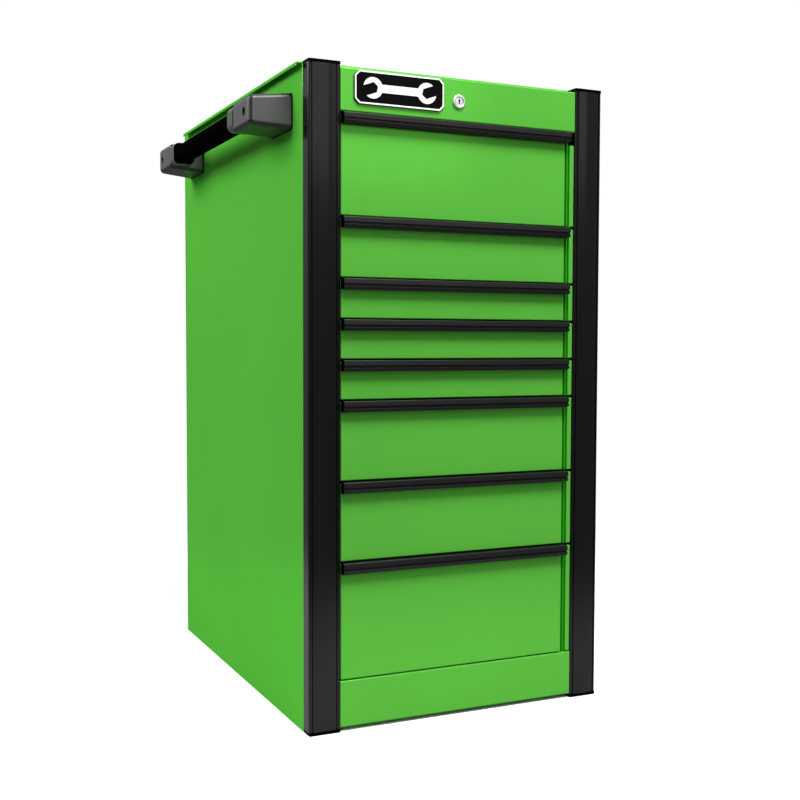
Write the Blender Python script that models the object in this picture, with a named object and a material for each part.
"""Steel tool cabinet with eight drawers and a push handle on its left side.

Units are metres, +Z is up and the drawers open along -Y. The origin is on the
floor, in the middle of the whole object's footprint.
"""

import math

import bmesh
import bpy
from mathutils import Vector

# Overall size
CABINET_WIDTH = 0.470
CABINET_DEPTH = 0.650
CABINET_HEIGHT = 0.920
HANDLE_REACH = 0.060
PULL_REACH = 0.008

LEFT = (HANDLE_REACH - CABINET_WIDTH) / 2
RIGHT = LEFT + CABINET_WIDTH
FRONT = (PULL_REACH - CABINET_DEPTH) / 2
BACK = FRONT + CABINET_DEPTH

# Sheet metal
SHEET = 0.0015
GAP = 0.0003
PANEL_FLANGE = 0.046
FACE_SETBACK = 0.002
FACE = FRONT + FACE_SETBACK

# Corner posts: extruded covers with a shallow crown between two grooves
POST_WIDTH = 0.0465
POST_DEPTH = 0.0225
POST_WALL = 0.0018
POST_CORNER = 0.003
POST_CROWN = 0.0014
POST_INNER_EDGE = 0.0014
POST_GROOVE_WIDTH = 0.0012
POST_GROOVE_DEPTH = 0.0026
POST_OUTER_GROOVE = 0.0038
POST_INNER_GROOVE = 0.0400
CAP_HEIGHT = 0.004

# Top panel with a turned-down lip along the left edge
SHELL_FRONT = FRONT + POST_DEPTH + GAP
LIP_OVERHANG = 0.009
LIP_DROP = 0.0055
LIP_FRONT = FRONT + 0.027
LIP_BACK = FRONT + 0.625

# Header, toe panel and floor
HEADER_TOP = 0.914
HEADER_BOTTOM = 0.8542
TOE_BOTTOM = 0.005
TOE_GAP = 0.0016
FLOOR_LEVEL = 0.060
FLOOR_FLANGE = 0.015

# Drawers, listed from the top one down
DRAWER_HEIGHTS = (0.140, 0.084, 0.056, 0.056, 0.056, 0.112, 0.112, 0.1656)
DRAWER_GAP = 0.0018
DRAWER_SIDE_GAP = 0.0008
FRONT_DEPTH = 0.018
FRONT_SKIN = 0.0012
TRAY_INSET = 0.0605
TRAY_BACK = FRONT + 0.628
TRAY_FLOOR_RISE = 0.007
TRAY_TOP_DROP = 0.012

# Groove pressed into the right of each drawer front
GROOVE_START = 0.0635
GROOVE_WIDTH = 0.0085
GROOVE_DEPTH = 0.0050
NOTCH_WIDTH = 0.0078
NOTCH_HEIGHT = 0.016

# Drawer pulls: hooked extrusions over the top edge of each front
PULL_START = 0.0471
PULL_END = 0.412
PULL_HEIGHT = 0.0154
PULL_WALL = 0.0016
PULL_BACK_CLEARANCE = 0.0003
PULL_FLANGE = 0.006

# Ball-bearing slides: fixed, middle and drawer members nested in one another
SLIDE_START = FRONT + 0.026
SLIDE_LENGTH = 0.600
SLIDE_CENTRE_RISE = 0.026
SLIDE_WALL = 0.0012
FIXED_MEMBER_HEIGHT = 0.036
FIXED_MEMBER_DEPTH = 0.011
MIDDLE_MEMBER_HEIGHT = 0.030
MIDDLE_MEMBER_DEPTH = 0.0078
MIDDLE_MEMBER_START = 0.050
DRAWER_MEMBER_HEIGHT = 0.024
DRAWER_MEMBER_DEPTH = 0.0075

# Name plate and lock on the header
PLATE_WIDTH = 0.137
PLATE_HEIGHT = 0.046
PLATE_CORNER = 0.007
PLATE_RIM = 0.004
PLATE_CENTRE = (LEFT + 0.1345, 0.8885)
LOCK_CENTRE = (LEFT + 0.2275, 0.882)
LOCK_FLANGE_RADIUS = 0.0098
LOCK_BARREL_RADIUS = 0.0085
LOCK_PLUG_RADIUS = 0.006
LOCK_PLUG_CLEARANCE = 0.0003
KEYWAY_WIDTH = 0.0018
KEYWAY_HEIGHT = 0.0075
CAM_LENGTH = 0.026
CAM_WIDTH = 0.012

# Push handle: a tube between two cast brackets
HANDLE_LEVEL = 0.861
HANDLE_TUBE_LEVEL = 0.862
HANDLE_TUBE_OFFSET = 0.042
HANDLE_TUBE_RADIUS = 0.016
HANDLE_TUBE_WALL = 0.002
HANDLE_MIDDLE = FRONT + 0.3355
BRACKET_BASE_HALF_GAP = 0.1835
BRACKET_BASE_DEPTH = 0.089
BRACKET_BASE_HEIGHT = 0.050
BRACKET_END_DEPTH = 0.077
BRACKET_END_HEIGHT = 0.041
BRACKET_ROUNDING = 0.007
COLLAR_HALF_SIZE = 0.0177
COLLAR_ROUNDING = 0.009
COLLAR_LENGTH = 0.027
BOLT_RADIUS = 0.003
BOLT_HEAD_RADIUS = 0.005
BOLT_SINK = 0.009
BOLT_FROM_FREE_END = 0.034

ROUND_SIDES = 32
ALONG_X = (math.pi / 2, 0, math.pi / 2)
ALONG_Y = (math.pi / 2, 0, 0)
ALONG_Z = (0, 0, 0)


def clear_scene():
    """Remove whatever the opened file already holds."""
    for scene_object in list(bpy.data.objects):
        bpy.data.objects.remove(scene_object, do_unlink=True)


def new_collection(name):
    """Add a collection under the scene."""
    collection = bpy.data.collections.new(name)
    bpy.context.scene.collection.children.link(collection)
    return collection


def new_material(name, colour, roughness, metallic=0.0):
    """A Principled material with a plain colour and finish."""
    material = bpy.data.materials.new(name)
    material.use_nodes = True
    shader = material.node_tree.nodes["Principled BSDF"]
    shader.inputs["Base Color"].default_value = (*colour, 1.0)
    shader.inputs["Roughness"].default_value = roughness
    shader.inputs["Metallic"].default_value = metallic
    return material


def finish(name, kind):
    """Give one sub-part its own material of a named kind."""
    kinds = {
        "green_paint": ((0.122, 0.503, 0.063), 0.28, 0.0),
        "black_anodised": ((0.022, 0.022, 0.023), 0.32, 0.6),
        "black_plastic": ((0.008, 0.008, 0.008), 0.25, 0.0),
        "grey_casting": ((0.085, 0.085, 0.088), 0.42, 0.2),
        "black_paint": ((0.006, 0.006, 0.006), 0.35, 0.0),
        "zinc_steel": ((0.55, 0.56, 0.57), 0.32, 1.0),
        "chrome": ((0.78, 0.78, 0.80), 0.12, 1.0),
    }
    colour, roughness, metallic = kinds[kind]
    return new_material(name + "_" + kind, colour, roughness, metallic)


def add_object(name, mesh, location, rotation=ALONG_Z):
    """Place a mesh in the parts collection."""
    added = bpy.data.objects.new(name, mesh)
    added.location = location
    added.rotation_euler = rotation
    PARTS.objects.link(added)
    return added


def add_box(name, low, high):
    """A block between two opposite corners, with its origin in its middle."""
    low = Vector(low)
    high = Vector(high)
    mesh = bpy.data.meshes.new(name)
    shape = bmesh.new()
    bmesh.ops.create_cube(shape, size=1.0)
    bmesh.ops.scale(shape, vec=high - low, verts=shape.verts)
    shape.to_mesh(mesh)
    shape.free()
    return add_object(name, mesh, (low + high) / 2)


def add_cylinder(name, radius, length, centre, rotation):
    """A round bar along one axis, centred on a point."""
    mesh = bpy.data.meshes.new(name)
    shape = bmesh.new()
    bmesh.ops.create_cone(
        shape,
        cap_ends=True,
        segments=ROUND_SIDES,
        radius1=radius,
        radius2=radius,
        depth=length,
    )
    shape.to_mesh(mesh)
    shape.free()
    mesh.shade_smooth()
    mesh.set_sharp_from_angle(angle=math.radians(40))
    return add_object(name, mesh, centre, rotation)


def add_profile(name, outline, length, centre, rotation):
    """Extrude a closed flat outline into a mesh, half its length each way."""
    curve = bpy.data.curves.new(name, "CURVE")
    curve.dimensions = "2D"
    curve.fill_mode = "BOTH"
    curve.extrude = length / 2
    spline = curve.splines.new("POLY")
    spline.points.add(len(outline) - 1)
    for point, (x, y) in zip(spline.points, outline):
        point.co = (x, y, 0, 1)
    spline.use_cyclic_u = True

    flat = add_object(name + "_outline", curve, centre, rotation)
    graph = bpy.context.evaluated_depsgraph_get()
    mesh = bpy.data.meshes.new_from_object(flat.evaluated_get(graph))
    shape = bmesh.new()
    shape.from_mesh(mesh)
    bmesh.ops.remove_doubles(shape, verts=shape.verts, dist=0.00001)
    bmesh.ops.recalc_face_normals(shape, faces=shape.faces)
    shape.to_mesh(mesh)
    shape.free()
    bpy.data.objects.remove(flat, do_unlink=True)
    bpy.data.curves.remove(curve)
    return add_object(name, mesh, centre, rotation)


def combine(target, tool, operation):
    """Join a tool to a piece, or cut it away, with an exact Boolean."""
    modifier = target.modifiers.new(tool.name, "BOOLEAN")
    modifier.operation = operation
    modifier.solver = "EXACT"
    modifier.object = tool
    PARTS.objects.unlink(tool)
    TOOLS.objects.link(tool)
    tool.hide_render = True
    tool.display_type = "WIRE"


def add_empty(name, location):
    """A joint frame that moving pieces hang from."""
    empty = bpy.data.objects.new(name, None)
    empty.empty_display_size = 0.03
    empty.location = location
    PARTS.objects.link(empty)
    return empty


def attach(child, parent):
    """Parent a piece to a joint frame and keep it where it stands."""
    child.parent = parent
    child.matrix_parent_inverse.identity()
    child.location -= parent.location


def paint(piece, kind):
    """Assign a material of the given kind to a finished piece."""
    piece.data.materials.append(finish(piece.name, kind))
    return piece


def inward(side, distance):
    """World x of a plane some distance in from one side of the cabinet."""
    return LEFT + distance if side == "left" else RIGHT - distance


def facing(side, outline):
    """Flip an outline drawn for the left side when it is used on the right."""
    sign = 1 if side == "left" else -1
    return [(sign * x, y) for x, y in outline]


def channel_outline(depth, height, wall):
    """A C section with its web on the y axis, open towards +x."""
    half = height / 2
    return [
        (0, -half),
        (depth, -half),
        (depth, wall - half),
        (wall, wall - half),
        (wall, half - wall),
        (depth, half - wall),
        (depth, half),
        (0, half),
    ]


def corner_arc(centre_x, centre_y, radius, start, end, steps):
    """Points along an arc, with angles in degrees."""
    points = []
    for step in range(steps + 1):
        angle = math.radians(start + (end - start) * step / steps)
        points.append((centre_x + radius * math.cos(angle), centre_y + radius * math.sin(angle)))
    return points


def crowned_face(start, end, steps):
    """Points across the post face, which rises gently to its middle."""
    points = []
    for step in range(steps + 1):
        across = step / steps
        depth = POST_CROWN * (2 * across - 1) ** 2
        points.append((start + (end - start) * across, depth))
    return points


def groove(start):
    """The four points of a square groove in the post face."""
    end = start + POST_GROOVE_WIDTH
    return [
        (start, POST_CROWN),
        (start, POST_GROOVE_DEPTH),
        (end, POST_GROOVE_DEPTH),
        (end, POST_CROWN),
    ]


def post_outline():
    """Section of a corner post, open at the back."""
    crown_start = POST_OUTER_GROOVE + POST_GROOVE_WIDTH
    outline = [(0, POST_DEPTH)]
    outline += corner_arc(POST_CORNER, POST_CORNER + POST_CROWN, POST_CORNER, 180, 270, 5)
    outline += groove(POST_OUTER_GROOVE)
    outline += crowned_face(crown_start, POST_INNER_GROOVE, 8)[1:-1]
    outline += groove(POST_INNER_GROOVE)
    outline += [
        (POST_WIDTH - POST_INNER_EDGE, POST_CROWN),
        (POST_WIDTH, POST_CROWN + POST_INNER_EDGE),
        (POST_WIDTH, POST_DEPTH),
        (POST_WIDTH - POST_WALL, POST_DEPTH),
        (POST_WIDTH - POST_WALL, POST_GROOVE_DEPTH + POST_WALL),
        (POST_WALL, POST_GROOVE_DEPTH + POST_WALL),
        (POST_WALL, POST_DEPTH),
    ]
    return outline


def cap_outline():
    """Plan of a post's end cap, with rounded front corners."""
    outline = [(0, POST_DEPTH)]
    outline += corner_arc(POST_CORNER, POST_CORNER, POST_CORNER, 180, 270, 5)
    inner = POST_CORNER / 2
    outline += corner_arc(POST_WIDTH - inner, inner, inner, 270, 360, 3)
    outline.append((POST_WIDTH, POST_DEPTH))
    return outline


def build_posts():
    """Two corner posts, each closed by a cap at the top and the bottom."""
    post_length = CABINET_HEIGHT - 2 * (CAP_HEIGHT + GAP)
    cap_levels = {"bottom": CAP_HEIGHT / 2, "top": CABINET_HEIGHT - CAP_HEIGHT / 2}
    for side in ("left", "right"):
        outer = inward(side, 0)
        centre = (outer, FRONT, CABINET_HEIGHT / 2)
        outline = facing(side, post_outline())
        post = add_profile(side + "_corner_post", outline, post_length, centre, ALONG_Z)
        post.data.shade_smooth()
        post.data.set_sharp_from_angle(angle=math.radians(30))
        paint(post, "black_anodised")
        for end, level in cap_levels.items():
            name = side + "_post_" + end + "_cap"
            outline = facing(side, cap_outline())
            cap = add_profile(name, outline, CAP_HEIGHT, (outer, FRONT, level), ALONG_Z)
            paint(cap, "black_plastic")


def bolt_depths():
    """World y of the two handle bolts, mirrored about the handle's middle."""
    offset = BRACKET_BASE_HALF_GAP + BRACKET_BASE_DEPTH - BOLT_FROM_FREE_END
    return {"front": HANDLE_MIDDLE - offset, "rear": HANDLE_MIDDLE + offset}


def build_side_panels():
    """Outer side skins, folded in at the front and the back."""
    length = BACK - SHEET - GAP - SHELL_FRONT
    height = CABINET_HEIGHT - SHEET - GAP
    outline = [
        (0, 0),
        (PANEL_FLANGE, 0),
        (PANEL_FLANGE, SHEET),
        (SHEET, SHEET),
        (SHEET, length - SHEET),
        (PANEL_FLANGE, length - SHEET),
        (PANEL_FLANGE, length),
        (0, length),
    ]
    for side in ("left", "right"):
        centre = (inward(side, 0), SHELL_FRONT, height / 2)
        panel = add_profile(side + "_side_panel", facing(side, outline), height, centre, ALONG_Z)
        if side == "left":
            for end, depth in bolt_depths().items():
                hole_centre = (LEFT, depth, HANDLE_LEVEL)
                hole_radius = BOLT_RADIUS + GAP
                name = end + "_bolt_hole"
                hole = add_cylinder(name, hole_radius, 0.010, hole_centre, ALONG_X)
                combine(panel, hole, "DIFFERENCE")
        paint(panel, "green_paint")


def build_back_panel():
    """Flat sheet across the back."""
    low = (LEFT, BACK - SHEET, 0)
    high = (RIGHT, BACK, CABINET_HEIGHT - SHEET - GAP)
    paint(add_box("back_panel", low, high), "green_paint")


def build_top_panel():
    """Top sheet with a lip down its left edge and a fold behind the header."""
    outline = [
        (LEFT, SHELL_FRONT),
        (RIGHT, SHELL_FRONT),
        (RIGHT, BACK),
        (LEFT, BACK),
        (LEFT, LIP_BACK),
        (LEFT - LIP_OVERHANG, LIP_BACK),
        (LEFT - LIP_OVERHANG, LIP_FRONT),
        (LEFT, LIP_FRONT),
    ]
    level = CABINET_HEIGHT - SHEET / 2
    overlap = SHEET / 2
    nudge = 0.0001
    top = add_profile("top_panel", outline, SHEET, (0, 0, level), ALONG_Z)

    lip_outer = LEFT - LIP_OVERHANG + nudge
    lip = add_box(
        "top_panel_lip",
        (lip_outer, LIP_FRONT + nudge, CABINET_HEIGHT - LIP_DROP),
        (lip_outer + SHEET, LIP_BACK - nudge, CABINET_HEIGHT - overlap),
    )
    combine(top, lip, "UNION")

    fold_front = SHELL_FRONT + nudge
    fold = add_box(
        "top_panel_fold",
        (LEFT + PANEL_FLANGE + GAP, fold_front, HEADER_TOP - 0.020),
        (RIGHT - PANEL_FLANGE - GAP, fold_front + SHEET, CABINET_HEIGHT - overlap),
    )
    combine(top, fold, "UNION")
    paint(top, "green_paint")


def build_header():
    """Front panel above the drawers, pierced for the lock."""
    height = HEADER_TOP - HEADER_BOTTOM
    depth = POST_DEPTH - FACE_SETBACK
    centre = ((LEFT + RIGHT) / 2, FACE, HEADER_BOTTOM + height / 2)
    width = CABINET_WIDTH - 2 * (POST_WIDTH + GAP)
    outline = channel_outline(depth, height, SHEET)
    header = add_profile("header_panel", outline, width, centre, ALONG_X)
    hole_centre = (LOCK_CENTRE[0], FACE, LOCK_CENTRE[1])
    hole_radius = LOCK_BARREL_RADIUS + GAP
    hole = add_cylinder("lock_hole", hole_radius, 0.010, hole_centre, ALONG_Y)
    combine(header, hole, "DIFFERENCE")
    paint(header, "green_paint")


def build_toe_panel():
    """Front panel below the drawers."""
    height = HEADER_BOTTOM - sum(DRAWER_HEIGHTS) - TOE_GAP - TOE_BOTTOM
    depth = POST_DEPTH - FACE_SETBACK
    centre = ((LEFT + RIGHT) / 2, FACE, TOE_BOTTOM + height / 2)
    width = CABINET_WIDTH - 2 * (POST_WIDTH + GAP)
    outline = channel_outline(depth, height, SHEET)
    paint(add_profile("toe_panel", outline, width, centre, ALONG_X), "green_paint")


def build_floor():
    """Cabinet floor with its front and back edges folded down."""
    low = SHELL_FRONT + SHEET + GAP
    high = BACK - 2 * (SHEET + GAP)
    outline = [
        (low, SHEET),
        (low, SHEET - FLOOR_FLANGE),
        (low + SHEET, SHEET - FLOOR_FLANGE),
        (low + SHEET, 0),
        (high - SHEET, 0),
        (high - SHEET, SHEET - FLOOR_FLANGE),
        (high, SHEET - FLOOR_FLANGE),
        (high, SHEET),
    ]
    width = CABINET_WIDTH - 2 * (SHEET + GAP)
    centre = ((LEFT + RIGHT) / 2, 0, FLOOR_LEVEL)
    paint(add_profile("bottom_panel", outline, width, centre, ALONG_X), "green_paint")


def drawer_levels():
    """Upper and lower level of each drawer's place in the stack, top first."""
    levels = []
    upper = HEADER_BOTTOM
    for height in DRAWER_HEIGHTS:
        levels.append((upper, upper - height))
        upper -= height
    return levels


def add_member(name, side, start, depth, height, level, opens_inward=True):
    """One C-section slide member, 600 mm long, on one side of a drawer."""
    sign = 1 if opens_inward else -1
    outline = [(sign * x, z) for x, z in channel_outline(depth, height, SLIDE_WALL)]
    centre = (inward(side, start), SLIDE_START + SLIDE_LENGTH / 2, level)
    return add_profile(name, facing(side, outline), SLIDE_LENGTH, centre, ALONG_Y)


def build_slide_walls():
    """Inner wall on each side that carries the fixed slide members."""
    wall_bottom = FLOOR_LEVEL + SHEET + GAP
    wall_front = SHELL_FRONT + SHEET + GAP
    wall_back = BACK - 2 * (SHEET + GAP)
    for side in ("left", "right"):
        edges = sorted((inward(side, PANEL_FLANGE - SHEET), inward(side, PANEL_FLANGE)))
        low = (edges[0], wall_front, wall_bottom)
        high = (edges[1], wall_back, HEADER_TOP - 0.010)
        wall = add_box(side + "_slide_wall", low, high)
        for number, (_, lower) in enumerate(drawer_levels(), start=1):
            member = add_member(
                side + "_fixed_member_" + str(number),
                side,
                PANEL_FLANGE - SHEET / 2,
                FIXED_MEMBER_DEPTH + SHEET / 2,
                FIXED_MEMBER_HEIGHT,
                lower + SLIDE_CENTRE_RISE,
            )
            combine(wall, member, "UNION")
        paint(wall, "zinc_steel")


def build_tray(number, upper, lower):
    """One drawer: a folded front, a tray behind it and two slide members."""
    name = "drawer_" + str(number) + "_tray"
    front_top = upper - DRAWER_GAP - PULL_WALL - GAP
    side_inset = POST_WIDTH + DRAWER_SIDE_GAP
    wall_front = FACE + FRONT_DEPTH - FRONT_SKIN
    tray = add_box(
        name,
        (LEFT + TRAY_INSET, FACE + FRONT_DEPTH / 2, lower + TRAY_FLOOR_RISE),
        (RIGHT - TRAY_INSET, TRAY_BACK, upper - TRAY_TOP_DROP),
    )

    front = add_box(
        name + "_front",
        (LEFT + side_inset, FACE, lower),
        (RIGHT - side_inset, FACE + FRONT_DEPTH, front_top),
    )
    combine(tray, front, "UNION")

    groove_left = RIGHT - GROOVE_START
    front_hollow = add_box(
        name + "_front_hollow",
        (LEFT + side_inset + FRONT_SKIN, FACE + FRONT_SKIN, lower - 0.010),
        (groove_left - FRONT_SKIN, wall_front - FRONT_SKIN, front_top - FRONT_SKIN),
    )
    combine(tray, front_hollow, "DIFFERENCE")

    hollow = add_box(
        name + "_hollow",
        (LEFT + TRAY_INSET + FRONT_SKIN, wall_front, lower + TRAY_FLOOR_RISE + FRONT_SKIN),
        (RIGHT - TRAY_INSET - FRONT_SKIN, TRAY_BACK - FRONT_SKIN, upper + 0.010),
    )
    combine(tray, hollow, "DIFFERENCE")

    front_groove = add_box(
        name + "_groove",
        (groove_left, FACE - 0.010, lower - 0.010),
        (groove_left + GROOVE_WIDTH, FACE + GROOVE_DEPTH, upper + 0.010),
    )
    combine(tray, front_groove, "DIFFERENCE")

    for side in ("left", "right"):
        member = add_member(
            name + "_" + side + "_member",
            side,
            TRAY_INSET + FRONT_SKIN / 2,
            DRAWER_MEMBER_DEPTH,
            DRAWER_MEMBER_HEIGHT,
            lower + SLIDE_CENTRE_RISE,
            opens_inward=False,
        )
        combine(tray, member, "UNION")

    if number == 1:
        notch = add_box(
            name + "_notch",
            (RIGHT - side_inset - NOTCH_WIDTH, FACE - 0.010, front_top - NOTCH_HEIGHT),
            (RIGHT - side_inset + 0.010, FACE + FRONT_DEPTH + 0.010, front_top + 0.010),
        )
        combine(tray, notch, "DIFFERENCE")
    return paint(tray, "green_paint")


def pull_outline():
    """Section of a drawer pull, from its top edge down; y is towards the back."""
    front = -(FACE_SETBACK + PULL_REACH)
    back = -PULL_BACK_CLEARANCE
    bottom = -PULL_HEIGHT
    return [
        (PULL_FLANGE, 0),
        (front + 0.0014, 0),
        (front, -0.0014),
        (front, -0.0076),
        (front + 0.0008, -0.0084),
        (front + 0.0008, -0.0094),
        (front, -0.0102),
        (front, bottom + 0.001),
        (front + 0.001, bottom),
        (front + 0.0024, bottom),
        (front + 0.0024, -0.0024),
        (back - PULL_WALL, -0.0024),
        (back - PULL_WALL, bottom),
        (back, bottom),
        (back, -PULL_WALL),
        (PULL_FLANGE, -PULL_WALL),
    ]


def build_pull(number, upper):
    """Hooked pull along the top edge of one drawer front."""
    start = LEFT + PULL_START
    end = LEFT + PULL_END
    centre = ((start + end) / 2, FACE, upper - DRAWER_GAP)
    name = "drawer_" + str(number) + "_pull"
    pull = add_profile(name, pull_outline(), end - start, centre, ALONG_X)
    return paint(pull, "black_anodised")


def build_drawers():
    """Eight drawers, each with its pull and the two middle slide members."""
    for number, (upper, lower) in enumerate(drawer_levels(), start=1):
        middle = ((LEFT + RIGHT) / 2, FACE, (upper + lower) / 2)
        drawer_frame = add_empty("drawer_" + str(number) + "_slide", middle)
        attach(build_tray(number, upper, lower), drawer_frame)
        attach(build_pull(number, upper), drawer_frame)
        member_frame = add_empty("drawer_" + str(number) + "_middle_slide", middle)
        for side in ("left", "right"):
            member = add_member(
                "drawer_" + str(number) + "_" + side + "_middle_member",
                side,
                MIDDLE_MEMBER_START,
                MIDDLE_MEMBER_DEPTH,
                MIDDLE_MEMBER_HEIGHT,
                lower + SLIDE_CENTRE_RISE,
            )
            attach(paint(member, "zinc_steel"), member_frame)


def octagon_outline(width, height, corner):
    """A rectangle with its four corners cut off."""
    x = width / 2
    z = height / 2
    return [
        (-x, corner - z),
        (corner - x, -z),
        (x - corner, -z),
        (x, corner - z),
        (x, z - corner),
        (x - corner, z),
        (corner - x, z),
        (-x, z - corner),
    ]


def build_name_plate():
    """Blank plate with a raised rim, on the left of the header."""
    x, z = PLATE_CENTRE
    thickness = 0.003
    rim_height = 0.0008
    centre = (x, FACE - GAP - thickness / 2, z)
    outline = octagon_outline(PLATE_WIDTH, PLATE_HEIGHT, PLATE_CORNER)
    plate = add_profile("name_plate", outline, thickness, centre, ALONG_Y)
    field_outline = octagon_outline(
        PLATE_WIDTH - 2 * PLATE_RIM, PLATE_HEIGHT - 2 * PLATE_RIM, PLATE_CORNER - PLATE_RIM / 2
    )
    field_centre = (x, FACE - GAP - thickness, z)
    field = add_profile("name_plate_field", field_outline, 2 * rim_height, field_centre, ALONG_Y)
    combine(plate, field, "DIFFERENCE")
    paint(plate, "black_plastic")


def build_lock():
    """Barrel lock: a fixed housing, and a plug that turns a cam behind it."""
    x, z = LOCK_CENTRE
    flange_thickness = 0.0025
    barrel_length = 0.022
    plug_front = FACE - flange_thickness + 0.0004
    plug_length = barrel_length + 0.006

    flange_centre = (x, FACE - GAP - flange_thickness / 2, z)
    housing = add_cylinder(
        "lock_housing", LOCK_FLANGE_RADIUS, flange_thickness, flange_centre, ALONG_Y
    )
    barrel_centre = (x, FACE - 0.001 + barrel_length / 2, z)
    barrel = add_cylinder(
        "lock_barrel", LOCK_BARREL_RADIUS, barrel_length, barrel_centre, ALONG_Y
    )
    combine(housing, barrel, "UNION")
    bore_radius = LOCK_PLUG_RADIUS + LOCK_PLUG_CLEARANCE
    bore = add_cylinder("lock_bore", bore_radius, 0.080, (x, FACE, z), ALONG_Y)
    combine(housing, bore, "DIFFERENCE")
    paint(housing, "chrome")

    turn = add_empty("lock_turn", (x, FACE, z))
    plug_centre = (x, plug_front + plug_length / 2, z)
    plug = add_cylinder("lock_plug", LOCK_PLUG_RADIUS, plug_length, plug_centre, ALONG_Y)
    keyway = add_box(
        "lock_keyway",
        (x - KEYWAY_WIDTH / 2, plug_front - 0.010, z - KEYWAY_HEIGHT / 2),
        (x + KEYWAY_WIDTH / 2, plug_front + 0.007, z + KEYWAY_HEIGHT / 2),
    )
    combine(plug, keyway, "DIFFERENCE")
    attach(paint(plug, "chrome"), turn)

    cam_front = plug_front + plug_length + GAP
    cam = add_box(
        "lock_cam",
        (x - CAM_WIDTH / 2, cam_front, z - CAM_WIDTH / 2),
        (x + CAM_LENGTH, cam_front + 0.0025, z + CAM_WIDTH / 2),
    )
    attach(paint(cam, "zinc_steel"), turn)


def add_bracket_body(name, toward_middle):
    """A block that narrows from its base on the panel to its outer end."""
    mesh = bpy.data.meshes.new(name)
    shape = bmesh.new()
    bmesh.ops.create_cube(shape, size=1.0)
    for corner in shape.verts:
        is_outer = corner.co.x < 0
        depth = BRACKET_END_DEPTH if is_outer else BRACKET_BASE_DEPTH
        height = BRACKET_END_HEIGHT if is_outer else BRACKET_BASE_HEIGHT
        is_free_end = corner.co.y * toward_middle < 0
        corner.co.x = -HANDLE_REACH if is_outer else -GAP
        corner.co.y = -toward_middle * depth if is_free_end else 0
        corner.co.z *= height
    rounded = [edge for edge in shape.edges if min(v.co.x for v in edge.verts) < -GAP]
    bmesh.ops.bevel(
        shape, geom=rounded, offset=BRACKET_ROUNDING, segments=3, profile=0.5, affect="EDGES"
    )
    bmesh.ops.recalc_face_normals(shape, faces=shape.faces)
    shape.to_mesh(mesh)
    shape.free()
    inner_face = HANDLE_MIDDLE - toward_middle * BRACKET_BASE_HALF_GAP
    return add_object(name, mesh, (LEFT, inner_face, HANDLE_LEVEL))


def collar_outline():
    """A square with well rounded corners, centred on the tube."""
    middle = COLLAR_HALF_SIZE - COLLAR_ROUNDING
    outline = []
    for turn, x, z in ((0, 1, 1), (90, -1, 1), (180, -1, -1), (270, 1, -1)):
        outline += corner_arc(x * middle, z * middle, COLLAR_ROUNDING, turn, turn + 90, 5)
    return outline


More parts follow.
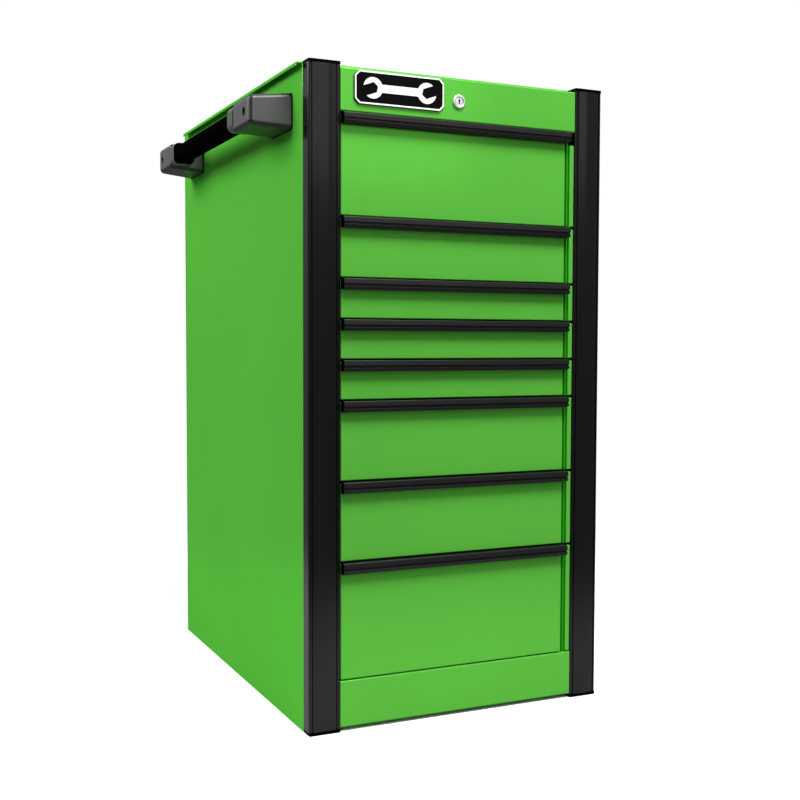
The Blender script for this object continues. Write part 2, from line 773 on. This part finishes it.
def build_bracket(end, toward_middle):
    """One cast bracket with a collar for the tube and a sunk bolt."""
    name = "handle_" + end + "_bracket"
    bracket = add_bracket_body(name, toward_middle)
    inner_face = bracket.location.y
    tube_x = LEFT - HANDLE_TUBE_OFFSET
    root = 0.020
    collar_middle = inner_face + toward_middle * (COLLAR_LENGTH - root) / 2
    collar_centre = (tube_x, collar_middle, HANDLE_TUBE_LEVEL)
    collar_length = COLLAR_LENGTH + root
    collar = add_profile(
        name + "_collar", collar_outline(), collar_length, collar_centre, ALONG_Y
    )
    combine(bracket, collar, "UNION")

    socket_radius = HANDLE_TUBE_RADIUS + GAP
    socket_centre = (tube_x, inner_face + toward_middle * COLLAR_LENGTH, HANDLE_TUBE_LEVEL)
    socket = add_cylinder(
        name + "_socket", socket_radius, 2 * COLLAR_LENGTH, socket_centre, ALONG_Y
    )
    combine(bracket, socket, "DIFFERENCE")

    depth = bolt_depths()[end]
    hole_radius = BOLT_RADIUS + GAP
    hole = add_cylinder(
        name + "_bolt_hole", hole_radius, 0.200, (LEFT, depth, HANDLE_LEVEL), ALONG_X
    )
    combine(bracket, hole, "DIFFERENCE")
    sink_radius = BOLT_HEAD_RADIUS + 0.001
    sink_centre = (LEFT - HANDLE_REACH, depth, HANDLE_LEVEL)
    sink = add_cylinder(name + "_bolt_sink", sink_radius, 2 * BOLT_SINK, sink_centre, ALONG_X)
    combine(bracket, sink, "DIFFERENCE")
    paint(bracket, "grey_casting")


def build_bolt(end):
    """Socket-head bolt that holds a bracket to the side panel."""
    name = "handle_" + end + "_bolt"
    depth = bolt_depths()[end]
    head_height = 0.006
    seat = LEFT - HANDLE_REACH + BOLT_SINK - GAP
    head_centre = (seat - head_height / 2, depth, HANDLE_LEVEL)
    bolt = add_cylinder(name, BOLT_HEAD_RADIUS, head_height, head_centre, ALONG_X)
    tip = LEFT + 0.012
    shank_start = seat - 0.001
    shank_centre = ((shank_start + tip) / 2, depth, HANDLE_LEVEL)
    shank = add_cylinder(name + "_shank", BOLT_RADIUS, tip - shank_start, shank_centre, ALONG_X)
    combine(bolt, shank, "UNION")
    recess_centre = (seat - head_height, depth, HANDLE_LEVEL)
    recess = add_cylinder(name + "_recess", 0.0026, 0.006, recess_centre, ALONG_X)
    combine(bolt, recess, "DIFFERENCE")
    paint(bolt, "zinc_steel")


def build_handle():
    """Push handle on the left side: two brackets, their bolts and the tube."""
    for end, toward_middle in (("front", 1), ("rear", -1)):
        build_bracket(end, toward_middle)
        build_bolt(end)
    length = 2 * (BRACKET_BASE_HALF_GAP - GAP)
    centre = (LEFT - HANDLE_TUBE_OFFSET, HANDLE_MIDDLE, HANDLE_TUBE_LEVEL)
    tube = add_cylinder("handle_tube", HANDLE_TUBE_RADIUS, length, centre, ALONG_Y)
    bore_radius = HANDLE_TUBE_RADIUS - HANDLE_TUBE_WALL
    bore = add_cylinder("handle_tube_bore", bore_radius, length + 0.020, centre, ALONG_Y)
    combine(tube, bore, "DIFFERENCE")
    paint(tube, "black_paint")


clear_scene()
PARTS = new_collection("tool_side_cabinet")
TOOLS = new_collection("cutters")

build_posts()
build_side_panels()
build_back_panel()
build_top_panel()
build_header()
build_toe_panel()
build_floor()
build_slide_walls()
build_drawers()
build_name_plate()
build_lock()
build_handle()
